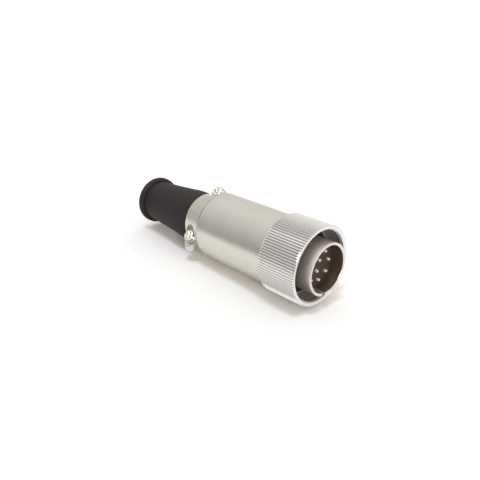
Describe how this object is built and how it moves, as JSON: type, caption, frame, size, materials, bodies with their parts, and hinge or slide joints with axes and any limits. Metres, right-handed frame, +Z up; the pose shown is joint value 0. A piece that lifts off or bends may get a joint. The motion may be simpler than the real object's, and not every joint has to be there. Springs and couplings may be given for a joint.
{
  "type": "push pull circular connector",
  "caption": "Round cable plug with a spring-loaded knurled sleeve that slides back to unlatch, contact pins inside a keyed nose, a screw clamp for the cable and a rubber boot.",
  "frame": {"origin": "on the connector's axis, at the rim of the plug shell's nose, on which it stands", "axes": "+Z up along the axis, from the mating face to the boot's tail; +X is the side that is uppermost in the picture"},
  "size_m": [0.026, 0.026, 0.085],
  "materials": {
    "bright_plating": "bright nickel plate on brass",
    "satin_plating": "satin nickel plate on brass",
    "contact": "bright plated contact",
    "spring_steel": "stainless spring steel",
    "screw_steel": "bright zinc plate",
    "insulator": "dark moulded insulator",
    "rubber": "matt black rubber"
  },
  "bodies": {
    "plug": {"plug_shell": "bright_plating", "front_insulator": "insulator", "rear_insulator": "insulator", "contact_pin_01": "contact", "contact_pin_02": "contact", "contact_pin_03": "contact", "contact_pin_04": "contact", "contact_pin_05": "contact", "contact_pin_06": "contact", "contact_pin_07": "contact", "contact_pin_08": "contact", "contact_pin_09": "contact", "contact_pin_10": "contact", "insert_circlip": "spring_steel", "sleeve_stop_ring": "spring_steel", "face_seal": "rubber", "sleeve_spring": "spring_steel", "barrel": "satin_plating", "shell_nut": "satin_plating", "clamp_base": "satin_plating", "clamp_saddle": "satin_plating", "clamp_screws": "screw_steel", "clamp_washer": "spring_steel", "cable_boot": "rubber"},
    "sleeve": {"coupling_sleeve": "bright_plating", "lock_ring": "spring_steel"}
  },
  "joints": [
    {"name": "sleeve_slide", "type": "slide", "parent": "plug", "child": "sleeve", "axis": [0, 0, 1], "range_m": [0, 0.003], "stiffness_N_per_m": 800, "springref_m": -0.004, "deforming": ["sleeve_spring"]}
  ]
}
